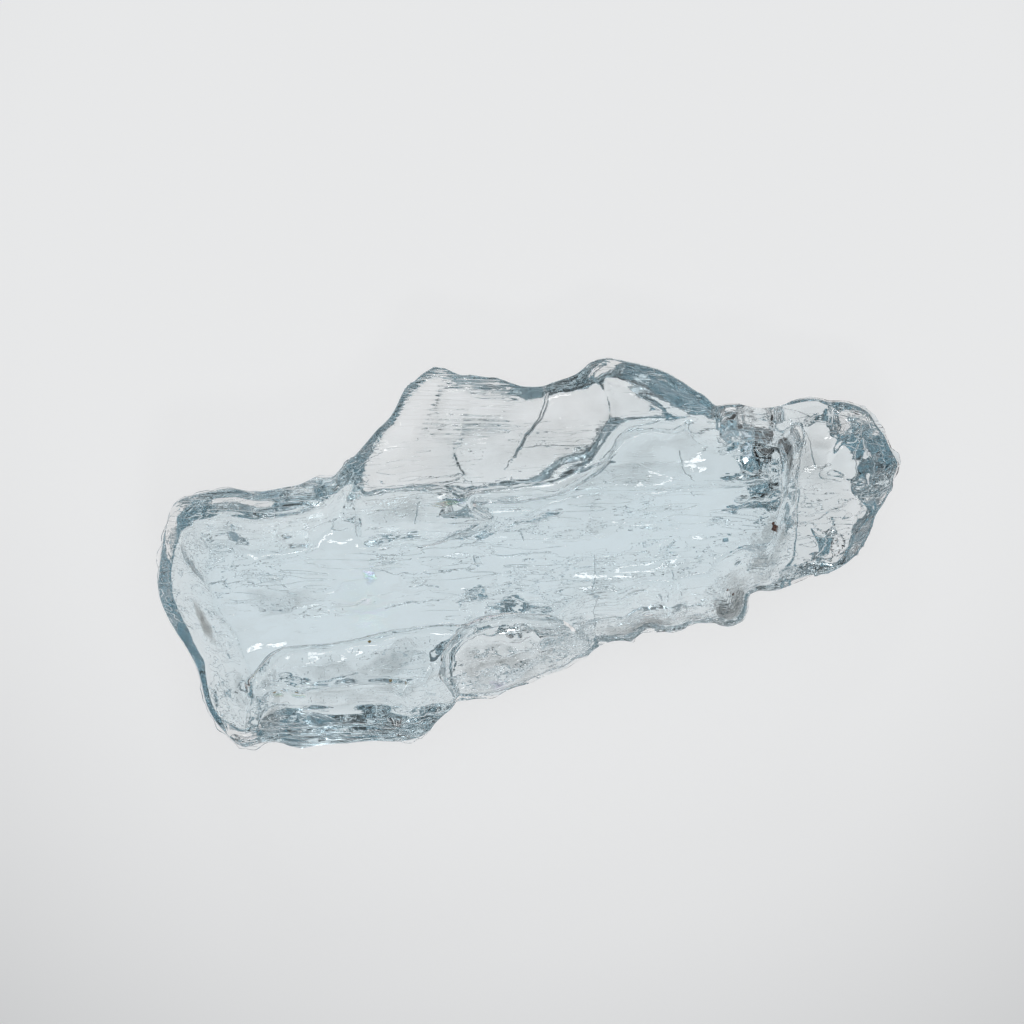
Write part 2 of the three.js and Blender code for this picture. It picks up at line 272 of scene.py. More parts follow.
def edge_distance(x, y):
    """How far each point is inside the edge (less than 0 outside it), the wedge's width at
    the nearest spot, and the direction to that spot."""
    nearest = np.full(x.shape, np.inf)
    within = np.zeros(x.shape, bool)
    width = np.zeros(x.shape)
    out_x, out_y = np.zeros(x.shape), np.zeros(x.shape)
    for (x0, y0, w0), (x1, y1, w1) in zip(EDGE, EDGE[1:] + EDGE[:1]):
        run_x, run_y = x1 - x0, y1 - y0
        share = ((x - x0) * run_x + (y - y0) * run_y) / (run_x**2 + run_y**2)
        share = np.clip(share, 0, 1)
        to_x, to_y = x0 + share * run_x - x, y0 + share * run_y - y
        far = np.hypot(to_x, to_y)
        closer = far < nearest
        nearest = np.where(closer, far, nearest)
        width = np.where(closer, w0 + (w1 - w0) * share, width)
        out_x, out_y = np.where(closer, to_x, out_x), np.where(closer, to_y, out_y)
        if run_y:
            within ^= ((y0 > y) != (y1 > y)) & (x < x0 + (y - y0) / run_y * run_x)
    length = np.maximum(nearest, 0.001)
    inside = np.where(within, nearest, -nearest)
    return inside, width, np.column_stack([out_x / length, out_y / length])


def rim_height(x, y):
    """The height of the sharp rim nearest to each point."""
    height = RIM_HEIGHT + RIM_WANDER * noise(x * 0.25, y * 0.25, 22)
    return height + sum(rise * patch(x, y, centre, reach) for centre, reach, rise in RIM_RISES)


def unbroken_back(x, y):
    """1 where the edge's back facet slopes, and less where it is broken or clear."""
    sides = sum(smooth(*over_x, x) * smooth(*over_y, y) for over_x, over_y in BROKEN_SIDES)
    streaks = noise(x * 0.8, y * 2.4, 25) + BROKEN_MORE * smooth(*BROKEN_MOST, x)
    clear = sum(slot(x, y, *spot) for spot in CLEAR_SPOTS)
    clear += FLATTER * sides * smooth(0.1, 0.3, streaks)
    return 1 - np.minimum(clear, 1)


def front_limit(x, y, foot):
    """How high the front may reach, as it falls to the fin and to the head."""
    fallen = np.maximum(HIGH[2] - np.maximum(y - foot, 0) * FIN_FALL, FIN_HEIGHT)
    beside_fin = (x < FIN_FOOT[0][0]) | (x > FIN_FOOT[-1][0])
    neck = np.maximum(HIGH[2] - np.maximum(x - NECK_START, 0) * NECK_FALL, NECK_HEIGHT)
    neck = np.where(y < NECK_TOP, neck, HIGH[2])
    return np.minimum(np.where(beside_fin, HIGH[2], fallen), neck)


def wedge_edges(points):
    """Thins every edge to two facets that meet at a rim, as wide as EDGE says."""
    x, y = points[:, 0], points[:, 1]
    inside, width, outwards = edge_distance(x, y)
    points[:, :2] += outwards * np.maximum(-inside, 0)[:, None]
    inside = np.maximum(inside, 0)
    foot = np.interp(x, *zip(*FIN_FOOT), left=HIGH[1], right=HIGH[1])
    in_fin = smooth(*FIN_BLEND, y - foot) * smooth(*FIN_LEFT, x)
    thin = patch(x, y, *THIN_EDGE, edge=0.5)
    front_beyond = FRONT_WALL + (HEAD_SLOPE - FRONT_WALL) * patch(x, y, *HEAD, edge=0.3)
    front_beyond += (FIN_SLOPE - front_beyond) * in_fin
    back_beyond = BACK_WALL + (FIN_BACK_SLOPE - BACK_WALL) * in_fin
    rim = rim_height(x, y)
    jitter = 1 + FACET_JITTER * noise(x * 0.8, y * 0.8, 21)
    undercut = width * UNDERCUT + UNDERCUT_MORE
    cut = np.minimum(inside, undercut) * jitter * BACK_SLOPE
    lowest = rim - RIM_ROUND - cut * unbroken_back(x, y) * (1 - THIN_LESS * thin)
    lowest -= np.maximum(inside - undercut, 0) * (back_beyond * (1 - thin) + THIN_SLOPE * thin)
    highest = rim + RIM_ROUND + np.minimum(inside, width) * jitter * FRONT_SLOPE
    highest += np.maximum(inside - width, 0) * front_beyond
    highest = np.minimum(highest, front_limit(x, y, foot))
    points[:, 2] = np.clip(points[:, 2], lowest, highest)
    notch = 1 + noise(x * 0.8, y * 0.8, 23) + 0.4 * noise(x * 2.3, y * 2.3, 24)
    notch *= RAGGED * (1 - smooth(0, RAGGED_DEPTH, inside))
    points[:, :2] -= outwards * notch[:, None]
    return points


SHORT_SIDE = 0.45  # sides shorter than this have no chip
CHIP_RADIUS = (1.3, 0.7)  # of a chip's ball: its mean, and how far it varies
CHIP_AWAY = (0.96, 0.06)  # the same for how far outside the edge its centre is, in radii
CHIP_HEIGHT = 2.6  # how far its centre is above or below the rim at most


def edge_chips():
    """Balls just outside the edge, each of which bites a shallow conchoidal chip out of it."""
    spots = []
    for k, ((x0, y0, _), (x1, y1, _)) in enumerate(zip(EDGE, EDGE[1:] + EDGE[:1])):
        out_x, out_y = y0 - y1, x1 - x0
        length = math.hypot(out_x, out_y)
        if length < SHORT_SIDE:
            continue
        size, gap, place_along, height = (
            float(lattice(np.int64(k), np.int64(n), 71)) for n in range(4)
        )
        radius = CHIP_RADIUS[0] + CHIP_RADIUS[1] * size
        away = radius * (CHIP_AWAY[0] + CHIP_AWAY[1] * gap)
        share = 0.5 + 0.5 * place_along
        spots.append((
            x0 + (x1 - x0) * share + out_x / length * away,
            y0 + (y1 - y0) * share + out_y / length * away,
            RIM_HEIGHT + CHIP_HEIGHT * height,
            radius,
        ))
    return spots


CALM = ((0.3, 4.2), (6.8, 2.6))  # centre and reach of the fin's smooth front
# Where the front is lumpy, on the ledge and the terraces: centre, reach and turn.
LIVELY = (((-0.6, -3.7), (2.2, 1.5), 0.3), ((3.6, -2.7), (4.2, 0.9), 0.2))
FRONT_DEPTH = 0.22  # how far the relief lowers the front on average
SCALE_HEIGHT = 0.042  # of each low step on the front
BACK_STEP = 0.12  # of each step on the back
SIDE_DEPTH = 0.12  # how far the relief pushes the sides in


def front_relief(x, y, along, across, calm):
    """How far the front is lowered: swells, low steps, and lumps in places."""
    swell = 0.16 * noise(along * 0.22, across * 0.7, 1) + 0.05 * noise(along * 0.6, across * 1.7, 2)
    scales = 2.6 * noise(along * 0.35, across * 1.2, 9) + noise(along * 1.3, across * 2.9, 10)
    lumps = 0.16 * noise(along * 1.3, across * 2.2, 7) + 0.09 * noise(x * 3.1, y * 3.3, 8)
    lumpy = sum(patch(x, y, *spot) for spot in LIVELY)
    return FRONT_DEPTH + swell * calm + SCALE_HEIGHT * calm * stairs(scales, 0.3) + lumpy * lumps


def relief(points, faces_to):
    """Growth steps, ripples and roughness on the front, the back and the sides."""
    x, y, z = points.T
    along, across = growth_axes(x, y)
    front = smooth(0.35, 0.8, faces_to[:, 2])
    back = smooth(0.35, 0.8, -faces_to[:, 2])
    side = 1 - np.maximum(front, back)

    calm = 1 - 0.8 * patch(x, y, *CALM)
    depth_front = front_relief(x, y, along, across, calm)
    field = 2.1 * noise(along * 0.17, across * 0.6, 3) + 0.8 * noise(along * 0.45, across * 1.5, 4)
    depth_back = BACK_STEP * stairs(2.2 + field * calm, 0.2)
    depth_back -= depth_back.min()
    depth_side = SIDE_DEPTH + 0.10 * noise(along * 0.9, across * 1.6 + z, 5)
    depth_side += 0.03 * noise(along * 2.1, z * 1.9 + across * 1.7, 6)

    inside, width, _ = edge_distance(x, y)
    thick = smooth(0, 1, inside - width)
    depth_side *= side * smooth(0.3, 0.8, inside)
    points[:, 2] += thick * (back * depth_back - front * depth_front)
    points -= faces_to * depth_side[:, None]
    return points


# Slanting facets broken into the back: centre, reach and turn seen from the front, then the
# height at the centre and the rise along X and Y.
BACK_FACETS = (
    ((7.5, 2.95), (0.45, 0.75), 0.0, (2.65, 0.95, 0.0)),
    ((6.68, 3.75), (0.3, 0.72), 0.0, (2.5, 0.95, 0.0)),
    ((8.12, 4.4), (0.3, 0.95), 0.0, (1.9, 0.95, 0.0)),
    ((9.0, -0.55), (0.9, 0.3), math.radians(23), (2.0, 0.0, -0.87)),
    ((-0.55, -1.7), (0.14, 0.5), math.radians(18), (1.2, 0.75, 0.6)),
    ((-2.0, 1.0), (0.75, 0.3), math.radians(15), (2.0, 0.0, 0.95)),
    ((2.55, -2.45), (0.35, 0.4), 0.0, (1.1, 0.3, -0.9)),
    ((3.5, -2.5), (0.45, 0.25), math.radians(8), (1.2, 0.0, -0.95)),
    ((10.35, 4.35), (0.25, 0.28), math.radians(-8), (1.5, 0.5, 0.85)),
    ((7.2, 1.5), (0.8, 0.22), math.radians(12), (1.2, 0.2, 0.9)),
    ((9.7, 0.35), (0.3, 0.6), math.radians(-35), (1.2, 0.8, 0.5)),
    ((1.1, -2.2), (0.8, 0.2), math.radians(14), (0.9, 0.1, -0.95)),
)
# The flat facet broken into the front, in the same way.
FRONT_FACETS = (((9.0, -0.55), (1.0, 0.36), math.radians(23), (3.5, 0.0, 0.0)),)
FACET_RAGGED = 0.06  # how far the facets' outlines wander


def break_facets(points):
    """Raises the back onto each of its slanting facets, and lowers the front onto its own."""
    x, y = points[:, 0], points[:, 1]
    ragged_x = x + FACET_RAGGED * noise(x * 3, y * 3, 51)
    ragged_y = y + FACET_RAGGED * noise(x * 3, y * 3, 52)
    for facets, limit in ((BACK_FACETS, np.maximum), (FRONT_FACETS, np.minimum)):
        for centre, reach, turn, (height, rise_x, rise_y) in facets:
            on_facet = slot(ragged_x, ragged_y, centre, reach, turn) > 0.5
            plane = height + rise_x * (x - centre[0]) + rise_y * (y - centre[1])
            points[:, 2] = np.where(on_facet, limit(points[:, 2], plane), points[:, 2])
    return points


def ease(mesh, rounds):
    """Evens out a mesh: each vertex goes halfway to the middle of its neighbours."""
    ends = np.empty(len(mesh.edges) * 2, dtype=np.int64)
    mesh.edges.foreach_get("vertices", ends)
    a, b = ends.reshape(-1, 2).T
    points = coordinates(mesh)
    count = np.bincount(ends, minlength=len(points))[:, None]
    for _ in range(rounds):
        total = np.zeros_like(points)
        np.add.at(total, a, points[b])
        np.add.at(total, b, points[a])
        points = (points + total / count) / 2
    set_coordinates(mesh, points)


def crystal_mesh():
    """The crystal with the relief of its broken and grown faces."""
    mesh = blank()
    set_coordinates(mesh, wedge_edges(coordinates(mesh)))
    set_coordinates(mesh, chips(coordinates(mesh), edge_chips()))
    ease(mesh, 2)
    set_coordinates(mesh, relief(coordinates(mesh), normals(mesh)))
    set_coordinates(mesh, break_facets(coordinates(mesh)))
    ease(mesh, 1)
    mesh.shade_smooth()
    return mesh


# ------------------------------------------------------------------ cracks sealed in the stone

RINGS = (0.35, 0.65, 0.85, 0.96, 1.0)  # rings of a sliver, from near its middle to its rim
SPACING = 0.12  # between points on an outline or a path
RIM_WAVER = 0.07  # how far a sliver's outline wavers


def rounded(outline):
    """Points a short way apart on a closed outline, with its corners a little softened."""
    points = []
    for (x0, y0), (x1, y1) in zip(outline, outline[1:] + outline[:1]):
        count = max(2, round(math.hypot(x1 - x0, y1 - y0) / SPACING))
        points += [(x0 + (x1 - x0) * k / count, y0 + (y1 - y0) * k / count) for k in range(count)]
    ring = np.array(points)
    ring += RIM_WAVER * np.column_stack([
        noise(ring[:, 0] * 2.7, ring[:, 1] * 2.7, 61),
        noise(ring[:, 0] * 2.7, ring[:, 1] * 2.7, 62),
    ])
    return ring * 0.5 + (np.roll(ring, 1, 0) + np.roll(ring, -1, 0)) * 0.25


def sliver(outline, level, slopes, gap=0.03, hackle=0.05, seed=31):
    """A thin flat gap on a tilted plane: level is its height in the middle, slopes are the
    rise along X and Y, and hackle is how far it waves out of its plane."""
    rim = rounded(list(outline))
    if signed_area(rim) < 0:
        rim = rim[::-1]
    middle = rim.mean(0)
    plan = np.concatenate([middle + (rim - middle) * ring for ring in RINGS])
    plan = np.vstack([middle, plan])
    height = level + (plan - middle) @ np.array(slopes)
    height += hackle * noise(plan[:, 0] * 3.1, plan[:, 1] * 3.1, seed)
    height += hackle * 0.6 * noise(plan[:, 0] * 7.3, plan[:, 1] * 7.3, seed + 1)
    count = len(rim)
    swell = np.repeat([math.sqrt(1 - ring**2) for ring in RINGS], count)
    swell = np.concatenate([[1], swell]) * gap / 2
    upper = np.column_stack([plan, height + swell])
    lower = np.column_stack([plan, height - swell])[:-count]
    faces = []
    layers = len(RINGS)
    low = len(upper)
    for k in range(count):
        n = (k + 1) % count
        faces.append((0, 1 + k, 1 + n))
        faces.append((low, low + 1 + n, low + 1 + k))
        for r in range(layers - 1):
            a, b = 1 + r * count, 1 + (r + 1) * count
            faces.append((a + k, b + k, b + n, a + n))
            c, d = low + a, b if r == layers - 2 else low + b
            faces.append((c + k, c + n, d + n, d + k))
    return np.vstack([upper, lower]), faces


def signed_area(ring):
    """The area inside a closed ring of points, positive when it runs counter-clockwise."""
    x, y = ring[:, 0], ring[:, 1]
    return float(np.sum(x * np.roll(y, -1) - y * np.roll(x, -1))) / 2


BLADE_GAP = 0.04
BLADE_WANDER = 0.04  # how far its path wanders sideways
BLADE_UNEVEN = 0.35  # how uneven its height is, as a share


def blade(path, low, high, lean, seed):
    """A narrow gap that stands on a path: it leans to one side by lean from low to high."""
    stations = [np.array(path[0], float)]
    for start, end in zip(path, path[1:]):
        start, end = np.array(start, float), np.array(end, float)
        count = max(1, round(np.linalg.norm(end - start) / SPACING))
        stations += [start + (end - start) * k / count for k in range(1, count + 1)]
    line = np.array(stations)
    line += BLADE_WANDER * np.column_stack([
        noise(line[:, 1] * 4, line[:, 0] * 4, seed),
        noise(line[:, 0] * 4, line[:, 1] * 4, seed + 1),
    ])
    along = np.gradient(line, axis=0)
    along /= np.linalg.norm(along, axis=1)[:, None] + 1e-9
    across = np.column_stack([-along[:, 1], along[:, 0]])
    share = np.linspace(0, 1, len(line))
    taper = np.sqrt(np.clip(1 - (2 * share - 1) ** 2, 0.02, 1))
    taper *= 1 + BLADE_UNEVEN * noise(share * 17, share * 0 + 3, seed + 2)
    middle = (low + high) / 2
    level = np.full(len(line), middle)
    half = (high - low) / 2 * taper
    offset = across * lean / 2 * taper[:, None]
    rings = (
        np.column_stack([line + offset, middle + half]),
        np.column_stack([line + across * BLADE_GAP / 2, level]),
        np.column_stack([line - offset, middle - half]),
        np.column_stack([line - across * BLADE_GAP / 2, level]),
    )
    points = np.stack(rings, 1).reshape(-1, 3)
    faces = [(0, 1, 2, 3)]
    for k in range(len(line) - 1):
        for c in range(4):
            n = (c + 1) % 4
            faces.append((k * 4 + n, k * 4 + c, k * 4 + 4 + c, k * 4 + 4 + n))
    last = (len(line) - 1) * 4
    faces.append((last + 3, last + 2, last + 1, last))
    return points, faces


UNDER_SKIN = 0.07  # how deep the nearest sealed things are


def skin_of(mesh):
    """The surface of a mesh in millimetres, for finding the nearest point on it."""
    corners = [vertex.co.copy() for vertex in mesh.vertices]
    return BVHTree.FromPolygons(corners, [tuple(face.vertices) for face in mesh.polygons])


def tuck(mesh, skin):
    """Draws whatever stands out of the crystal, or nearly does, back under its skin."""
    for vertex in mesh.vertices:
        spot, outwards, _, _ = skin.find_nearest(vertex.co)
        if (vertex.co - spot).dot(outwards) > -UNDER_SKIN:
            vertex.co = spot - outwards * UNDER_SKIN


def gather(name, shells):
    """One mesh from many closed shells."""
    points, faces, start = [], [], 0
    for shell_points, shell_faces in shells:
        points.append(shell_points)
        faces += [tuple(start + v for v in face) for face in shell_faces]
        start += len(shell_points)
    mesh = mesh_from(name, np.vstack(points), faces)
    work = bmesh.new()
    work.from_mesh(mesh)
    bmesh.ops.recalc_face_normals(work, faces=work.faces)
    work.to_mesh(mesh)
    work.free()
    mesh.shade_smooth()
    return mesh


# Slanting gaps that turn the view aside: outline, height, and slopes along X and Y.
MIRRORS = (
    # the neck's blocks
    (((6.45, 3.1), (6.9, 3.15), (6.95, 3.7), (6.85, 4.35), (6.5, 4.3)), 3.3, (0.95, 0.2)),
    (((7.05, 2.3), (7.5, 2.2), (7.6, 3.0), (7.5, 3.7), (7.1, 3.5)), 3.0, (0.95, -0.1)),
    (((7.62, 2.5), (7.95, 2.3), (8.0, 3.2), (7.9, 4.2), (7.7, 3.6)), 3.2, (-0.95, 0.1)),
    (((6.5, 1.95), (7.0, 2.15), (7.9, 2.25), (7.3, 1.9), (6.8, 1.7)), 3.4, (0.2, 0.85)),
    (((6.3, 1.25), (6.75, 1.3), (6.6, 1.45), (6.25, 1.4)), 3.6, (0.3, 0.85)),
    (((6.4, 0.4), (6.6, 0.42), (6.5, 0.75), (6.35, 0.6)), 3.2, (0.85, 0.3)),
    (((7.2, 1.2), (7.9, 1.3), (8.2, 1.7), (7.6, 1.8), (7.0, 1.5)), 3.0, (0.5, 0.75)),
    # the head
    (((10.1, 4.1), (10.55, 4.05), (10.6, 4.6), (10.2, 4.65)), 2.8, (0.75, -0.5)),
    (((10.15, 4.1), (10.6, 4.1), (10.6, 4.55), (10.2, 4.6)), 3.3, (0.65, -0.6)),
    (((9.2, 0.95), (9.6, 0.0), (9.9, 0.1), (10.4, 0.75), (9.8, 0.6)), 2.4, (0.5, 0.75)),
    (((10.3, 1.15), (10.85, 1.25), (10.6, 1.4)), 3.0, (0.2, 0.9)),
    (((11.0, 3.2), (11.3, 2.6), (11.6, 2.9), (11.5, 3.6), (11.1, 3.9)), 2.5, (-0.75, 0.3)),
    # the middle
    (((-3.2, 0.65), (-2.6, 0.55), (-1.9, 0.75), (-1.2, 0.85), (-1.75, 1.05), (-1.95, 1.5),
      (-2.4, 1.1)), 3.6, (0.15, 0.6)),
    (((-2.0, -0.15), (-1.75, -0.12), (-1.72, -0.42), (-1.9, -0.4)), 3.4, (0.7, 0.55)),
    (((-2.45, -1.8), (-2.15, -1.85), (-1.5, -1.0), (-1.7, -0.85)), 3.0, (-0.7, 0.65)),
    (((1.5, 2.45), (2.1, 2.5), (2.9, 2.75), (2.3, 2.9), (1.8, 2.7)), 3.8, (0.1, 0.8)),
    (((0.1, -2.5), (0.9, -2.4), (1.2, -2.15), (0.5, -2.2)), 2.6, (0.2, 0.9)),
    # the ledge and the lower panel
    (((-2.35, -2.6), (-2.6, -3.2), (-2.75, -3.8), (-2.6, -4.3), (-3.0, -3.9), (-2.95, -3.2),
      (-2.6, -2.6)), 2.8, (0.9, 0.0)),
    (((-0.75, -2.95), (-0.2, -2.9), (0.1, -2.75), (-0.4, -2.75)), 3.0, (0.0, 0.9)),
    (((-1.95, -2.36), (-1.6, -2.42), (-1.3, -2.35), (-1.6, -2.3)), 3.2, (0.0, 0.95)),
    # the broken end
    (((-9.05, -1.9), (-8.75, -1.85), (-8.8, -1.7), (-9.0, -1.72)), 3.6, (0.3, 0.9)),
)

# Gaps that tilt the way that throws the bright strip's light straight up: outline and height.
GLINT_SLOPES = (-0.04, 0.21)
GLINTS = (
    (((-3.0, -0.12), (-2.4, -0.05), (-2.0, -0.15), (-2.5, -0.25)), 4.2),
    (((-1.0, -3.3), (-0.4, -3.1), (0.4, -2.95), (0.3, -3.1), (-0.4, -3.25)), 2.8),
    (((-7.5, -5.1), (-6.7, -5.1), (-6.4, -5.25), (-7.2, -5.25)), 3.0),
    (((-6.9, -5.4), (-6.3, -5.38), (-6.2, -5.5), (-6.8, -5.52)), 3.0),
    (((-4.8, -5.2), (-4.3, -5.2), (-4.2, -5.35), (-4.7, -5.35)), 3.0),
    (((11.2, 3.0), (11.45, 3.0), (11.5, 3.2), (11.3, 3.2)), 2.4),
    (((9.05, 3.2), (9.25, 3.25), (9.25, 3.5), (9.05, 3.5)), 3.0),
    (((8.2, 0.78), (8.9, 0.82), (8.9, 0.88), (8.2, 0.9)), 4.3),
    (((-4.8, -4.15), (-4.4, -4.1), (-4.0, -4.2), (-4.4, -4.3)), 4.2),
)
# Films that tilt the same way: outline, height, and how dense in the middle.
RAINBOWS = (
    (((-5.6, -0.5), (-5.1, -0.45), (-5.0, -1.0), (-5.4, -1.15)), 4.2, 1.0),
    (((-3.5, 1.45), (-2.8, 1.8), (-2.0, 1.85), (-2.0, 1.45), (-2.8, 1.3)), 4.0, 1.0),
    (((-6.5, -0.5), (-5.2, -0.7), (-4.2, -1.6), (-4.4, -2.8), (-5.8, -3.0), (-6.7, -1.6)),
     3.6, 0.12),
    (((-8.6, -4.4), (-8.1, -4.35), (-8.1, -4.7), (-8.5, -4.75)), 4.4, 0.8),
    (((-7.85, -4.4), (-7.4, -4.4), (-7.4, -4.7), (-7.8, -4.7)), 4.4, 0.8),
    (((-1.4, -4.2), (-0.7, -4.15), (-0.5, -4.5), (-1.1, -4.7)), 2.6, 0.4),
)

# Cracks that stand up in the stone: path, lowest and highest point, and lean.
CRACKS = (
    (((0.65, 5.2), (0.35, 4.5), (0.1, 4.2), (-0.1, 3.9), (-0.35, 3.4), (-0.6, 3.0),
      (-0.85, 2.75)), 2.2, 3.3, 0.16),
    (((0.6, 5.15), (0.2, 4.4), (0.0, 4.0)), 2.4, 3.2, 0.1),
    (((-0.4, 3.3), (0.3, 3.4), (1.1, 3.42), (2.0, 3.45)), 2.6, 2.9, 0.05),
    (((-4.8, 2.1), (-3.9, 2.25), (-3.2, 2.2), (-2.2, 2.4)), 2.6, 2.9, 0.06),
    (((-0.6, 2.5), (-0.55, 2.2), (-0.6, 2.0)), 2.6, 2.9, 0.1),
    (((-5.0, -0.15), (-4.5, -0.2), (-3.9, -0.1)), 4.0, 4.2, 0.05),
    (((-4.9, -0.5), (-4.5, -0.7), (-3.4, -0.6), (-2.0, -0.4)), 4.0, 4.2, 0.05),
    (((-4.0, -0.9), (-3.5, -0.82), (-3.0, -0.95)), 4.0, 4.2, 0.05),
    (((-4.8, -1.8), (-3.9, -1.5), (-3.0, -1.5)), 3.8, 4.1, 0.06),
    (((-2.6, 0.6), (-1.2, 0.85), (-0.3, 0.95)), 3.8, 4.1, 0.06),
    (((-0.3, 0.8), (-0.25, 0.4)), 3.6, 3.9, 0.07),
    (((0.7, -1.65), (1.5, -1.5)), 3.0, 3.3, 0.07),
    (((0.9, -1.95), (1.6, -1.75)), 3.0, 3.3, 0.07),
    (((4.6, -0.3), (4.72, -0.6), (4.7, -0.9)), 3.0, 3.3, 0.08),
    (((4.8, -1.25), (5.1, -1.35), (5.15, -1.7), (5.1, -2.1)), 3.0, 3.3, 0.07),
    (((9.0, 4.1), (9.3, 3.6), (9.5, 2.9), (9.55, 2.65), (10.3, 2.6)), 2.6, 2.9, 0.06),
    (((8.4, 4.7), (9.2, 4.5), (10.1, 4.3)), 2.6, 2.9, 0.07),
    (((11.0, 4.3), (10.85, 3.3), (10.7, 2.4)), 2.6, 2.9, 0.05),
    (((8.2, 5.0), (8.1, 4.3), (7.9, 3.6), (7.8, 3.0)), 2.4, 3.0, 0.16),
    (((6.55, 4.4), (6.5, 3.8), (6.55, 3.1)), 2.4, 3.3, 0.2),
    (((7.0, 4.6), (7.1, 3.8), (7.05, 3.0), (7.1, 2.3)), 2.2, 3.0, 0.18),
    (((7.45, 3.9), (7.4, 3.2), (7.45, 2.4)), 3.0, 3.6, 0.12),
    (((7.95, 4.3), (7.9, 3.4), (7.95, 2.6)), 2.2, 2.9, 0.14),
    (((5.0, 3.1), (5.1, 2.3), (5.4, 1.9)), 3.6, 3.8, 0.05),
    (((-8.0, 0.2), (-7.0, 0.4), (-6.0, 0.7)), 4.2, 4.4, 0.05),
    (((-10.7, -1.0), (-9.4, -0.95), (-8.0, -1.05)), 4.2, 4.4, 0.05),
    (((-2.0, -3.3), (-0.9, -3.25)), 2.6, 2.9, 0.1),
    (((2.05, -0.2), (2.0, -1.2), (2.1, -2.5)), 3.0, 3.3, 0.05),
    (((-5.6, 1.6), (-4.7, 1.6), (-3.8, 1.75), (-2.3, 2.0), (-0.6, 1.98)), 3.4, 3.6, 0.06),
    (((-3.8, 0.4), (-3.75, 1.5)), 3.4, 3.6, 0.05),
)


# Cloudy veils that lie nearly flat: outline, height, and how dense in the middle.
VEILS = (
    (((6.0, -1.0), (7.3, -1.0), (7.6, 0.0), (6.6, 0.1), (5.9, -0.3)), 3.6, 0.6),
    (((7.2, 0.1), (8.1, 0.0), (8.5, 0.6), (8.1, 1.05), (7.5, 1.05), (7.15, 0.6)), 3.2, 1.0),
    (((7.1, 0.2), (7.9, 0.2), (8.0, -1.1), (7.4, -1.2)), 2.4, 0.8),
    (((-8.4, -3.4), (-5.5, -2.9), (-2.9, -2.5), (-2.8, -4.8), (-8.3, -4.9)), 3.4, 0.45),
    (((-8.9, -3.6), (-8.5, -3.6), (-8.4, -6.1), (-9.0, -6.1)), 3.0, 0.7),
    (((-4.6, 2.4), (-4.0, 5.4), (0.4, 5.0), (3.6, 5.4), (5.0, 4.6), (2.2, 2.4)), 2.9, 0.15),
    (((-9.6, -1.2), (-7.2, -0.9), (-6.9, -2.2), (-9.0, -2.3)), 3.6, 0.35),
    (((-5.6, 1.6), (-5.3, 0.2), (-3.5, 0.35), (-3.4, 1.6)), 3.0, 0.45),
    (((-0.6, 2.2), (2.4, 2.5), (4.8, 4.0), (6.2, 4.2), (6.2, 2.2), (2.0, 0.9)), 2.8, 0.3),
    (((-2.6, -3.2), (0.4, -2.9), (1.2, -3.5), (-0.9, -4.5), (-2.2, -4.6)), 2.2, 0.8),
    (((1.6, -2.2), (5.8, -1.7), (5.9, -2.1), (3.6, -2.5), (1.7, -3.0)), 2.8, 0.8),
    (((8.5, 2.4), (10.0, 2.2), (10.2, 3.9), (8.8, 4.1)), 3.0, 0.3),
)
# The knob's cloud and the brown smudges, in the same way.
KNOB = (
    (((6.1, -1.8), (6.45, -2.2), (6.9, -2.1), (7.1, -1.5), (7.15, -0.9), (6.6, -0.7),
      (6.1, -1.0)), 3.0, 1.6),
    (((6.2, -1.6), (6.6, -2.0), (7.0, -1.6), (7.0, -0.8), (6.3, -0.9)), 2.4, 1.6),
)
STAINS = (
    (((-11.0, -1.3), (-10.4, -1.4), (-10.2, -2.2), (-10.1, -3.0), (-10.7, -3.1),
      (-10.9, -2.4)), 4.2, 0.8),
    (((8.55, 2.9), (8.75, 2.95), (8.8, 3.4), (8.95, 3.6), (8.65, 3.5)), 3.0, 0.7),
)


VEIL_SLOPES = (0.08, 0.06)
VEIL_GAP = 0.02


def layer_mesh(name, layers, slopes=VEIL_SLOPES, hackle=0.12):
    """Thin flat layers, whose attribute cover falls from their density to 0 at their rims."""
    shells, cover = [], []
    fade = [1 - ring**2 for ring in RINGS]
    for k, (outline, level, density) in enumerate(layers):
        shells.append(sliver(outline, level, slopes, VEIL_GAP, hackle, 201 + 2 * k))
        count = len(rounded(list(outline)))
        share = [1.0, *np.repeat(fade, count), 1.0, *np.repeat(fade[:-1], count)]
        cover += [v * density for v in share]
    mesh = gather(name, shells)
    attribute = mesh.attributes.new("cover", "FLOAT", "POINT")
    attribute.data.foreach_set("value", np.array(cover, dtype=np.float32))
    return mesh


def cracks_mesh():
    """Every gap sealed in the stone, as thin closed shells."""
    mirrors = [sliver(*mirror, seed=31 + 2 * k) for k, mirror in enumerate(MIRRORS)]
    blades = [blade(*crack, seed=101 + 3 * k) for k, crack in enumerate(CRACKS)]
    glints = [
        sliver(outline, level, GLINT_SLOPES, hackle=0.006, seed=141 + 2 * k)
        for k, (outline, level) in enumerate(GLINTS)
    ]
    return gather("cracks", mirrors + blades + glints)


# ------------------------------------------------------------------ bubbles, tubes and grains


def group(name, *inputs):
    """An empty Geometry Nodes tree with a mesh in, a mesh out, and named inputs."""
    tree = bpy.data.node_groups.new(name, "GeometryNodeTree")
    tree.interface.new_socket("Geometry", in_out="INPUT", socket_type="NodeSocketGeometry")
    for label, kind, value in inputs:
        socket = tree.interface.new_socket(label, in_out="INPUT", socket_type="NodeSocket" + kind)
        if value is not None:
            socket.default_value = value
    tree.interface.new_socket("Geometry", in_out="OUTPUT", socket_type="NodeSocketGeometry")
    return tree, tree.nodes.new("NodeGroupInput"), tree.nodes.new("NodeGroupOutput")


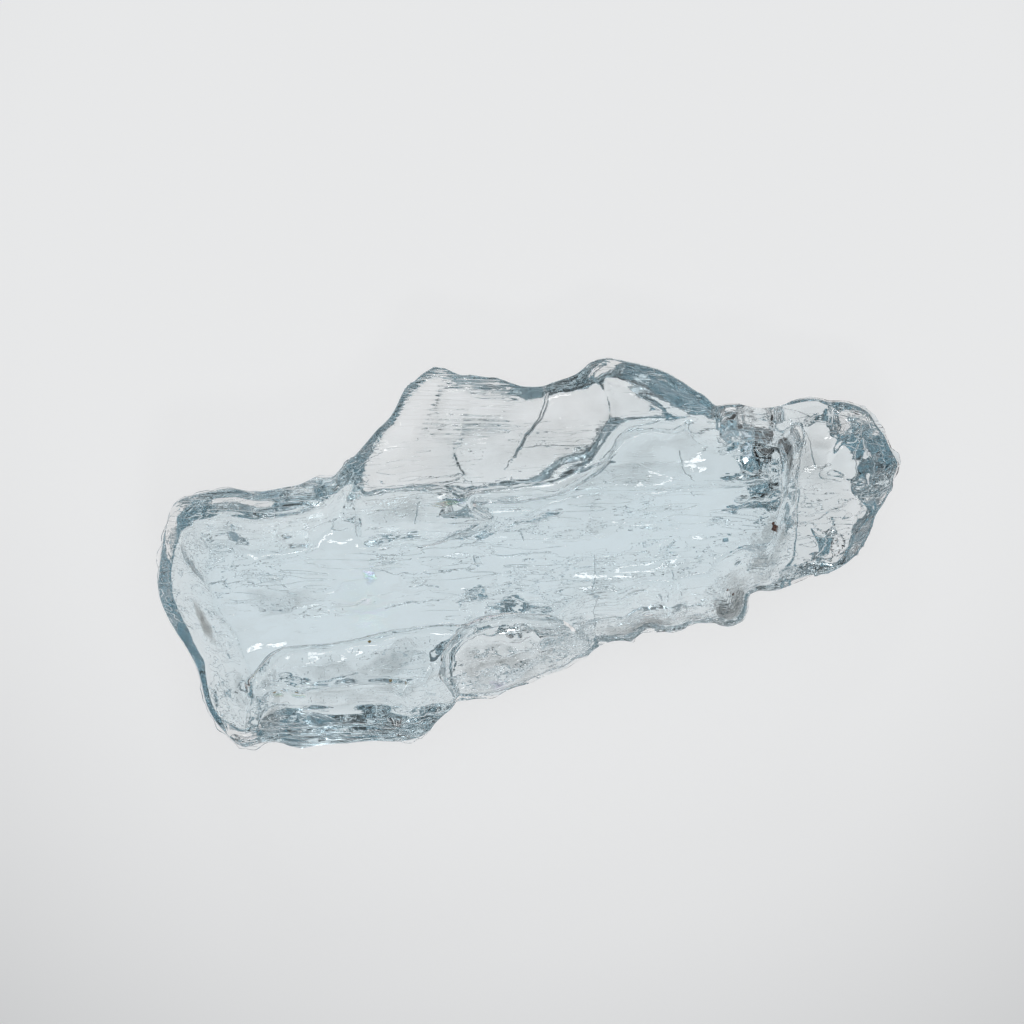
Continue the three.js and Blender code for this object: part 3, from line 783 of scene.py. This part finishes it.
def grown_on(name, carrier, tree, material):
    """What a tree grows on a carrier mesh, as one plain mesh in millimetres."""
    holder = bpy.data.objects.new(name + " carrier", carrier)
    bpy.context.collection.objects.link(holder)
    modifier = holder.modifiers.new(name, "NODES")
    modifier.node_group = tree
    for item in tree.interface.items_tree:
        if item.in_out == "INPUT" and item.socket_type == "NodeSocketMaterial":
            modifier[item.identifier] = material
    graph = bpy.context.evaluated_depsgraph_get()
    mesh = bpy.data.meshes.new_from_object(holder.evaluated_get(graph))
    bpy.data.objects.remove(holder)
    mesh.name = name
    return mesh


SIZE_RANGE = (0.35, 1.3)  # of the scattered copies, as a share of the shape


def scattered(tree, inputs, shape, turn=None):
    """Copies of a shape at random spots on the carrier's faces, ended as a mesh with a material."""
    make = tree.nodes.new
    spots = make("GeometryNodeDistributePointsOnFaces")
    spots.distribute_method = "RANDOM"
    copies = make("GeometryNodeInstanceOnPoints")
    size = make("FunctionNodeRandomValue")
    size.inputs[2].default_value, size.inputs[3].default_value = SIZE_RANGE
    solid = make("GeometryNodeRealizeInstances")
    finish = make("GeometryNodeSetMaterial")
    for output, made, label in (
        (inputs.outputs["Geometry"], spots, "Mesh"),
        (inputs.outputs["For each mm2"], spots, "Density"),
        (inputs.outputs["Seed"], spots, "Seed"),
        (inputs.outputs["Seed"], size, "Seed"),
        (spots.outputs["Points"], copies, "Points"),
        (shape, copies, "Instance"),
        (size.outputs[1], copies, "Scale"),
        (copies.outputs["Instances"], solid, "Geometry"),
        (solid.outputs["Geometry"], finish, "Geometry"),
        (inputs.outputs["Material"], finish, "Material"),
    ):
        tree.links.new(output, made.inputs[label])
    if turn is None:
        tree.links.new(spots.outputs["Rotation"], copies.inputs["Rotation"])
    else:
        copies.inputs["Rotation"].default_value = turn
    return finish.outputs["Geometry"]


BUBBLES_FROM = 0.4  # how dense a veil has to be to have bubbles
BUBBLES_ABOVE = 0.15  # how far they lie above it


def bubbles_mesh(material):
    """Fine bubbles spread over the denser veils."""
    tree, inputs, outputs = group(
        "bubbles",
        ("For each mm2", "Float", 9.0),
        ("Seed", "Int", 7),
        ("Radius", "Float", 0.02),
        ("Material", "Material", None),
    )
    ball = tree.nodes.new("GeometryNodeMeshIcoSphere")
    ball.inputs["Subdivisions"].default_value = 1
    tree.links.new(inputs.outputs["Radius"], ball.inputs["Radius"])
    tree.links.new(scattered(tree, inputs, ball.outputs["Mesh"]), outputs.inputs[0])
    shells = [
        sliver(outline, level + BUBBLES_ABOVE, VEIL_SLOPES, VEIL_GAP, 0.3, 301 + k)
        for k, (outline, level, density) in enumerate(VEILS) if density > BUBBLES_FROM
    ]
    return grown_on("bubbles", gather("veil patches", shells), tree, material)


# Where growth tubes lie, and where short strokes of crack do: outline and height.
TUBE_FIELDS = (
    (((-10.5, -2.5), (-3.0, -1.8), (5.5, -1.2), (5.5, 1.8), (-3.0, 0.4), (-10.5, 0.9)), 4.0),
    (((-7.8, -4.6), (-3.2, -4.6), (-3.2, -3.0), (-7.8, -3.4)), 3.2),
    (((-4.8, 2.4), (1.8, 2.6), (1.8, 4.4), (-3.6, 4.6)), 2.9),
)
STROKE_FIELDS = (
    (((-1.3, -2.6), (0.6, -2.5), (2.4, -2.0), (2.4, -1.6), (0.2, -1.9), (-1.0, -2.3)), 3.0),
    (((3.0, -1.9), (5.8, -1.7), (5.8, -2.1), (3.2, -2.4)), 3.0),
)


def rods_mesh(name, fields, amount, radius, length, turn, seed, material):
    """Thin rods of air that lie one way, scattered over some fields."""
    tree, inputs, outputs = group(
        name,
        ("For each mm2", "Float", amount),
        ("Seed", "Int", seed),
        ("Radius", "Float", radius),
        ("Length", "Float", length),
        ("Material", "Material", None),
    )
    rod = tree.nodes.new("GeometryNodeMeshCylinder")
    rod.inputs["Vertices"].default_value = 6
    tree.links.new(inputs.outputs["Radius"], rod.inputs["Radius"])
    tree.links.new(inputs.outputs["Length"], rod.inputs["Depth"])
    lying = (0, math.radians(90), turn)
    tree.links.new(scattered(tree, inputs, rod.outputs["Mesh"], lying), outputs.inputs[0])
    shells = [
        sliver(area, level, (0.03, 0.02), VEIL_GAP, 0.8, 401 + k)
        for k, (area, level) in enumerate(fields)
    ]
    return grown_on(name, gather(name + " fields", shells), tree, material)


# Solid grains just under the front: x, y and radius.
BROWN_GRAINS = (
    (8.05, 0.84, 0.12), (8.1, 0.68, 0.08), (7.98, 0.98, 0.06), (6.5, -1.2, 0.05),
    (6.7, -1.35, 0.04), (8.25, 0.86, 0.05),
)
YELLOW_GRAINS = (
    (-5.3, -2.85, 0.06), (-8.45, -4.55, 0.07), (-8.2, -4.5, 0.04), (-7.7, -4.55, 0.06),
    (-4.6, -4.2, 0.05), (-4.1, -4.25, 0.04),
)


def grain_mesh(name, spots, seed, skin):
    """Small irregular solid grains just under the front."""
    mesh = bpy.data.meshes.new(name)
    work = bmesh.new()
    for k, (x, y, radius) in enumerate(spots):
        front = skin.ray_cast(Vector((x, y, HIGH[2] + 1)), Vector((0, 0, -1)))[0]
        middle = front - Vector((0, 0, radius + 2 * UNDER_SKIN))
        made = bmesh.ops.create_icosphere(work, subdivisions=2, radius=radius)
        for vertex in made["verts"]:
            u, v, w = (vertex.co / radius).to_tuple()
            swell = 1 + 0.35 * float(noise(np.array(u * 2.0 + k), np.array(v * 2.0 + w), seed))
            vertex.co = middle + vertex.co * swell
    work.to_mesh(mesh)
    work.free()
    mesh.shade_smooth()
    return mesh


# ------------------------------------------------------------------ materials


def new_material(name):
    """A material with its node tree and the main shader."""
    material = bpy.data.materials.new(name)
    material.use_nodes = True
    return material, material.node_tree, material.node_tree.nodes["Principled BSDF"]


def bare_material(name):
    """A material with its node tree, which has no shader yet."""
    material, tree, shader = new_material(name)
    tree.nodes.remove(shader)
    return material, tree


def adjust(made, **settings):
    """Sets a node's settings and inputs by name: an input takes a value or another's output."""
    for name, value in settings.items():
        if hasattr(made, name):
            setattr(made, name, value)
        elif isinstance(value, bpy.types.NodeSocket):
            made.id_data.links.new(value, made.inputs[name.replace("_", " ")])
        else:
            made.inputs[name.replace("_", " ")].default_value = value
    return made


def node(tree, kind, **settings):
    """A new shader node, adjusted."""
    return adjust(tree.nodes.new("ShaderNode" + kind), **settings)


def stone_place(tree):
    """Coordinates in the stone, in metres."""
    return node(tree, "TexCoord").outputs["Object"]


def ramped(tree, field, top):
    """A soft ramp from 0, where a field is 0, to 1, where it is at the top."""
    ramp = node(tree, "MapRange", interpolation_type="SMOOTHSTEP", From_Max=top, Value=field)
    return ramp.outputs["Result"]


OVAL_FIRM = 0.4  # how far inside its edge an oval region is at its full 1, in reaches


def oval(tree, place_at, centre, reach, turn=0.0):
    """1 in the middle of an oval region of the stone, falling to 0 at its reach."""
    moved = node(
        tree, "Mapping", vector_type="TEXTURE", Location=(centre[0] * MM, centre[1] * MM, 0),
        Rotation=(0, 0, turn), Scale=(reach[0] * MM, reach[1] * MM, 1), Vector=place_at,
    )
    ball = node(tree, "TexGradient", gradient_type="SPHERICAL", Vector=moved.outputs[0])
    return ramped(tree, ball.outputs["Fac"], OVAL_FIRM)


def maths(tree, operation, a, b=0.0, c=0.0):
    """A Math node on sockets or numbers."""
    made = node(tree, "Math", operation=operation)
    for socket, value in zip(made.inputs, (a, b, c)):
        if isinstance(value, (int, float)):
            socket.default_value = value
        else:
            tree.links.new(value, socket)
    return made.outputs[0]


def stretched(tree, place_at, turn, scale):
    """Coordinates in repeats for each millimetre, turned about Z and stretched."""
    scale = [v / MM for v in scale]
    turned = node(tree, "Mapping", Rotation=(0, 0, -turn), Scale=scale, Vector=place_at)
    return turned.outputs[0]


def noise_at(tree, coords, detail=2.0, distortion=0.0):
    """Noise from 0 to 1 on the given coordinates."""
    made = node(
        tree, "TexNoise", Scale=1.0, Detail=detail, Distortion=distortion, Vector=coords
    )
    return made.outputs["Fac"]


def contour_lines(tree, field, count, width):
    """Thin grooves along the contours of a field: 0 in a groove and 1 elsewhere."""
    level = maths(tree, "MULTIPLY", field, count)
    return ramped(tree, maths(tree, "PINGPONG", level, 0.5), width)


BAND_WAVER = 0.25  # how far a band moves, in widths of about three bands
BAND_PERIOD = 0.314  # of a wave texture at scale 1


def bands(tree, coords, waver):
    """Fine parallel ridges across Y, shifted by a noise that they share."""
    moved = node(tree, "VectorMath", operation="MULTIPLY_ADD")
    moved.inputs[1].default_value = (BAND_WAVER, BAND_WAVER, BAND_WAVER)
    tree.links.new(waver, moved.inputs[0])
    tree.links.new(coords, moved.inputs[2])
    moved = moved.outputs[0]
    made = node(tree, "TexWave", bands_direction="Y", Scale=1.0, Distortion=0.0, Vector=moved)
    return made.outputs["Fac"]


LINE_DEPTH = 0.024
PIT_DEPTH = 0.012
CALMED = 0.85  # how much of the growth lines the fin's smooth front loses
# Where the surface is ridged: centre, reach, turn, spacing and depth.
RIDGES = (
    ((-2.5, 5.0), (2.6, 1.8), math.radians(-4), 0.16, 0.016),
    ((-3.9, 2.9), (2.0, 0.7), math.radians(10), 0.35, 0.005),
    ((1.2, 4.2), (1.6, 0.8), math.radians(5), 0.3, 0.003),
    ((-5.5, -5.7), (4.6, 1.5), math.radians(-1), 0.35, 0.018),
    ((5.0, 5.3), (1.7, 1.2), math.radians(-65), 0.25, 0.025),
    ((11.6, 3.6), (1.2, 1.6), math.radians(60), 0.35, 0.030),
    ((7.5, 3.0), (0.9, 1.2), math.radians(90), 0.3, 0.012),
)
GRAINY_REPEATS = (5.0, 7.0, 6.0)  # grains in each millimetre
# Where the surface is grainy: centre, reach, turn and depth.
GRAINY = (
    ((3.7, -2.65), (3.2, 0.75), math.radians(8), 0.07),
    ((6.75, -1.7), (1.2, 1.3), 0.0, 0.08),
    ((0.8, -3.7), (2.2, 0.9), math.radians(22), 0.06),
    ((-1.8, -4.2), (1.2, 1.3), 0.0, 0.04),
    ((7.6, 0.2), (1.1, 1.4), 0.0, 0.04),
    ((-8.7, -4.9), (0.5, 1.8), 0.0, 0.05),
)


def surface_marks(tree):
    """The height of growth lines, striations and small pits, in millimetres."""
    where = stone_place(tree)
    lines_at = stretched(tree, where, GROWTH, (0.22, 1.7, 1.0))
    lines = contour_lines(tree, noise_at(tree, lines_at, 2.0), 8.0, 0.07)
    busy = noise_at(tree, stretched(tree, where, GROWTH, (0.25, 0.6, 0.8)), 1.0)
    busy = maths(tree, "SMOOTH_MIN", maths(tree, "MULTIPLY_ADD", busy, 6.0, -2.6), 1.0, 0.2)
    busy = maths(tree, "MAXIMUM", busy, 0.0)
    calm = oval(tree, where, (0.3, 4.2), (7.0, 2.6))
    busy = maths(tree, "MULTIPLY", busy, maths(tree, "MULTIPLY_ADD", calm, -CALMED, 1.0))
    height = maths(tree, "MULTIPLY", maths(tree, "MULTIPLY", lines, busy), LINE_DEPTH)
    waver = noise_at(tree, stretched(tree, where, GROWTH, (0.8, 3.2, 0.8)), 1.0)
    for centre, reach, turn, spacing, depth in RIDGES:
        pitch = BAND_PERIOD / spacing
        ridge = bands(tree, stretched(tree, where, turn, (pitch * 0.25, pitch, pitch * 0.25)), waver)
        inside = oval(tree, where, centre, reach, turn)
        height = maths(tree, "MULTIPLY_ADD", maths(tree, "MULTIPLY", ridge, inside), depth, height)
    grains = noise_at(tree, stretched(tree, where, GROWTH, GRAINY_REPEATS), 1.0)
    for centre, reach, turn, depth in GRAINY:
        inside = oval(tree, where, centre, reach, turn)
        height = maths(tree, "MULTIPLY_ADD", maths(tree, "MULTIPLY", grains, inside), depth, height)
    pits = noise_at(tree, stretched(tree, where, GROWTH, (2.0, 5.0, 4.0)), 2.0)
    return maths(tree, "MULTIPLY_ADD", pits, PIT_DEPTH, height)


BERYL_IOR = 1.577
BERYL_COLOUR = (0.24, 0.67, 0.82, 1)
BERYL_DENSITY = 47  # absorption for each metre


def beryl():
    """Clear pale blue beryl: the colour comes from the depth of the stone."""
    material, tree, shader = new_material("clear beryl")
    bump = node(tree, "Bump", Strength=1.0, Distance=MM, Height=surface_marks(tree))
    adjust(shader, Base_Color=(1, 1, 1, 1), Roughness=0, IOR=BERYL_IOR, Transmission_Weight=1)
    adjust(shader, Normal=bump.outputs[0])
    depth = node(tree, "VolumeAbsorption", Color=BERYL_COLOUR, Density=BERYL_DENSITY)
    adjust(tree.nodes["Material Output"], Volume=depth.outputs[0])
    return material


MEAN_COVER = 0.45  # how much the densest part of a strong veil hides, on average
MOST_COVER = 0.85  # and the most that any part hides


def cloudy(name, colour, strength, grain, contrast=3.2):
    """A veil of fine specks: it hides a little of what is under it, in uneven patches."""
    material, tree, shader = new_material(name)
    adjust(shader, Base_Color=(*colour, 1), Roughness=1, Specular_IOR_Level=0)
    where = stone_place(tree)
    cover = node(tree, "Attribute", attribute_name="cover").outputs["Fac"]
    patches = noise_at(tree, stretched(tree, where, GROWTH, grain), 4.0, 0.3)
    uneven = maths(tree, "MULTIPLY_ADD", patches, contrast, MEAN_COVER - contrast / 2)
    uneven = maths(tree, "MAXIMUM", uneven, 0.0)
    alpha = maths(tree, "MULTIPLY", maths(tree, "MULTIPLY", uneven, cover), strength)
    adjust(shader, Alpha=maths(tree, "MINIMUM", alpha, MOST_COVER))
    return material


def colour_ramp(tree, field, stops):
    """Colours by the value of a field: each stop is a position and a colour."""
    ramp = node(tree, "ValToRGB", Fac=field)
    made = ramp.color_ramp.elements
    while len(made) < len(stops):
        made.new(0.5)
    for element, (position, colour) in zip(made, stops):
        element.position = position
        element.color = (*colour, 1)
    return ramp.outputs["Color"]


def rust():
    """The opaque red-brown grain in the head."""
    material, tree, shader = new_material("red-brown grain")
    where = stone_place(tree)
    patches = noise_at(tree, stretched(tree, where, 0, (9, 9, 9)), 3.0)
    colour = colour_ramp(tree, patches, ((0, (0.10, 0.022, 0.010)), (1, (0.36, 0.13, 0.06))))
    adjust(shader, Base_Color=colour, Roughness=0.55)
    return material


PASTELS = ((1, 0.7, 0.85), (1, 0.95, 0.65), (0.7, 1, 0.8), (0.7, 0.85, 1), (0.9, 0.7, 1))
FILM_SHINE = 0.5  # how much of the light a film turns back where its cover is 1


def rainbow():
    """A film too thin to bend light: it only reflects a little of it, in pastel colours."""
    material, tree = bare_material("rainbow film")
    where = stone_place(tree)
    patches = noise_at(tree, stretched(tree, where, GROWTH, (1.5, 4.0, 1.0)), 1.0)
    hues = [(0.3 + 0.4 * k / (len(PASTELS) - 1), hue) for k, hue in enumerate(PASTELS)]
    shine = node(tree, "BsdfGlossy", Roughness=0.22, Color=colour_ramp(tree, patches, hues))
    clear = node(tree, "BsdfTransparent")
    cover = node(tree, "Attribute", attribute_name="cover").outputs["Fac"]
    both = node(tree, "MixShader", Fac=maths(tree, "MULTIPLY", cover, FILM_SHINE))
    tree.links.new(clear.outputs[0], both.inputs[1])
    tree.links.new(shine.outputs[0], both.inputs[2])
    adjust(tree.nodes["Material Output"], Surface=both.outputs[0])
    return material


def yellow():
    """The small yellow grains."""
    material, _, shader = new_material("yellow grain")
    adjust(shader, Base_Color=(0.72, 0.5, 0.2, 1), Roughness=0.4)
    return material


def gap_air():
    """The air in a sealed crack: the stone's IOR turned round."""
    material, tree = bare_material("air in the cracks")
    glass = node(tree, "BsdfGlass", Color=(1, 1, 1, 1), Roughness=0, IOR=1 / BERYL_IOR)
    adjust(tree.nodes["Material Output"], Surface=glass.outputs[0])
    return material


# ------------------------------------------------------------------ camera, floor and light

CAMERA_LENS = 200
SENSOR = 36
VIEW_WIDTH = 34.13  # the width of the view across the crystal
VIEW_CENTRE = (-0.6, 1.3667)


def set_camera():
    """Looks straight down on the front face."""
    data = bpy.data.cameras.new("camera")
    camera = bpy.data.objects.new("camera", data)
    bpy.context.collection.objects.link(camera)
    data.lens = CAMERA_LENS
    data.sensor_width = SENSOR
    data.clip_start = 0.01
    distance = VIEW_WIDTH * CAMERA_LENS / SENSOR
    camera.location = (VIEW_CENTRE[0] * MM, VIEW_CENTRE[1] * MM, (HIGH[2] / 2 + distance) * MM)
    bpy.context.scene.camera = camera


# The floor's glow is painted light: its own emission, brightest in a pool round the crystal.
POOL_CENTRE = (0, 11)
POOL_RADII = (16, 60)  # where the floor's painted light starts to fall, and where it is down
POOL_LIGHT = (0.675, 0.05)  # how strongly the painted glow shines inside and outside


def set_floor():
    """A wide pale sheet that shines softly by itself, though it is no lamp: painted light, most of
    all in a wide pool round the crystal.
    """
    half = 1.0
    mesh = bpy.data.meshes.new("floor")
    corners = [(-half, -half), (half, -half), (half, half), (-half, half)]
    mesh.from_pydata([(x, y, -0.02 * MM) for x, y in corners], [], [(0, 1, 2, 3)])
    floor = bpy.data.objects.new("floor", mesh)
    bpy.context.collection.objects.link(floor)
    material, tree, shader = new_material("white sheet with painted glow")
    adjust(shader, Base_Color=(0.35, 0.35, 0.35, 1), Emission_Color=(1, 1, 1, 1))
    adjust(shader, Roughness=0.9, Specular_IOR_Level=0.1)
    where = stone_place(tree)
    to_centre = (-POOL_CENTRE[0] * MM, -POOL_CENTRE[1] * MM, 0)
    middle = node(tree, "Mapping", Location=to_centre, Vector=where)
    far = node(tree, "VectorMath", operation="LENGTH")
    tree.links.new(middle.outputs[0], far.inputs[0])
    pool = node(
        tree, "MapRange", interpolation_type="SMOOTHSTEP", Value=far.outputs["Value"],
        From_Min=POOL_RADII[0] * MM, From_Max=POOL_RADII[1] * MM,
        To_Min=POOL_LIGHT[0], To_Max=POOL_LIGHT[1],
    )
    # Painted light: the emission paints a pool of light round the crystal, which lifts the shade
    # beneath it.
    adjust(shader, Emission_Strength=pool.outputs["Result"])
    material.cycles.emission_sampling = "NONE"
    mesh.materials.append(material)


# The room's brightness by height: 0 is level or below, and 1 is straight up.
SKY = ((0.0, 0.06), (0.2, 0.06), (0.5, 0.08), (0.75, 0.2), (0.9, 0.6), (1.0, 0.8))
SKY_BLUE = 0.12  # how blue the ceiling is where it is brightest


def set_light():
    """A dim room with a soft bright ceiling, as a gradient by height."""
    world = bpy.data.worlds.new("room")
    bpy.context.scene.world = world
    world.use_nodes = True
    tree = world.node_tree
    where = node(tree, "TexCoord").outputs["Generated"]
    split = node(tree, "SeparateXYZ", Vector=where)
    stops = [
        (position, (level * (1 - SKY_BLUE * level), level, level * (1 + SKY_BLUE * level)))
        for position, level in SKY
    ]
    adjust(tree.nodes["Background"], Color=colour_ramp(tree, split.outputs["Z"], stops))


# Azimuth and elevation of each strip lamp, as the crystal sees it.
STRIPS = ((math.radians(-80), math.radians(50)), (math.radians(100), math.radians(32)))
STRIP_AWAY = 0.2
STRIP_SIZE = (0.05, 0.018)
STRIP_WATTS = 0.024


def set_strips():
    """Small bright strips at two sides, for the sparkle in the broken edges."""
    for k, (azimuth, elevation) in enumerate(STRIPS):
        data = bpy.data.lights.new(f"strip {k}", "AREA")
        data.shape = "RECTANGLE"
        data.size, data.size_y = STRIP_SIZE
        data.energy = STRIP_WATTS
        lamp = bpy.data.objects.new(f"strip {k}", data)
        bpy.context.collection.objects.link(lamp)
        level = STRIP_AWAY * math.cos(elevation)
        height = STRIP_AWAY * math.sin(elevation)
        lamp.location = (level * math.cos(azimuth), level * math.sin(azimuth), height)
        lamp.rotation_euler = Vector(lamp.location).to_track_quat("Z", "Y").to_euler()


def set_render():
    """Plain colours, and enough bounces for light to find its way through the stone."""
    scene = bpy.context.scene
    scene.view_settings.view_transform = "Standard"
    scene.cycles.max_bounces = 12
    scene.cycles.transmission_bounces = 12
    scene.cycles.glossy_bounces = 8
    scene.cycles.diffuse_bounces = 1


# ------------------------------------------------------------------ the whole scene

set_camera()
set_floor()
set_light()
set_strips()
set_render()

body = crystal_mesh()
skin = skin_of(body)
crystal = place("crystal", body, beryl())
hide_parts(NODE)
air = gap_air()
sealed = (
    (cracks_mesh(), air),
    (layer_mesh("veils", VEILS), cloudy("pale veil", (0.56, 0.59, 0.55), 0.55, (0.9, 1.4, 1))),
    (layer_mesh("knob_cloud", KNOB),
     cloudy("knob cloud", (0.4, 0.46, 0.45), 0.7, (1.6, 1.8, 1), 1.8)),
    (layer_mesh("stains", STAINS), cloudy("brown stain", (0.3, 0.26, 0.16), 0.9, (1, 1, 1))),
    (bubbles_mesh(air), air),
    (rods_mesh("tubes", TUBE_FIELDS, 0.28, 0.012, 0.9, GROWTH, 11, air), air),
    (rods_mesh("strokes", STROKE_FIELDS, 6.0, 0.025, 0.5, 2 * GROWTH, 13, air), air),
    (layer_mesh("rainbows", RAINBOWS, GLINT_SLOPES, 0.003), rainbow()),
    (grain_mesh("brown_grains", BROWN_GRAINS, 81, skin), rust()),
    (grain_mesh("yellow_grains", YELLOW_GRAINS, 91, skin), yellow()),
)
for mesh, material in sealed:
    tuck(mesh, skin)
    place(mesh.name, mesh, material)
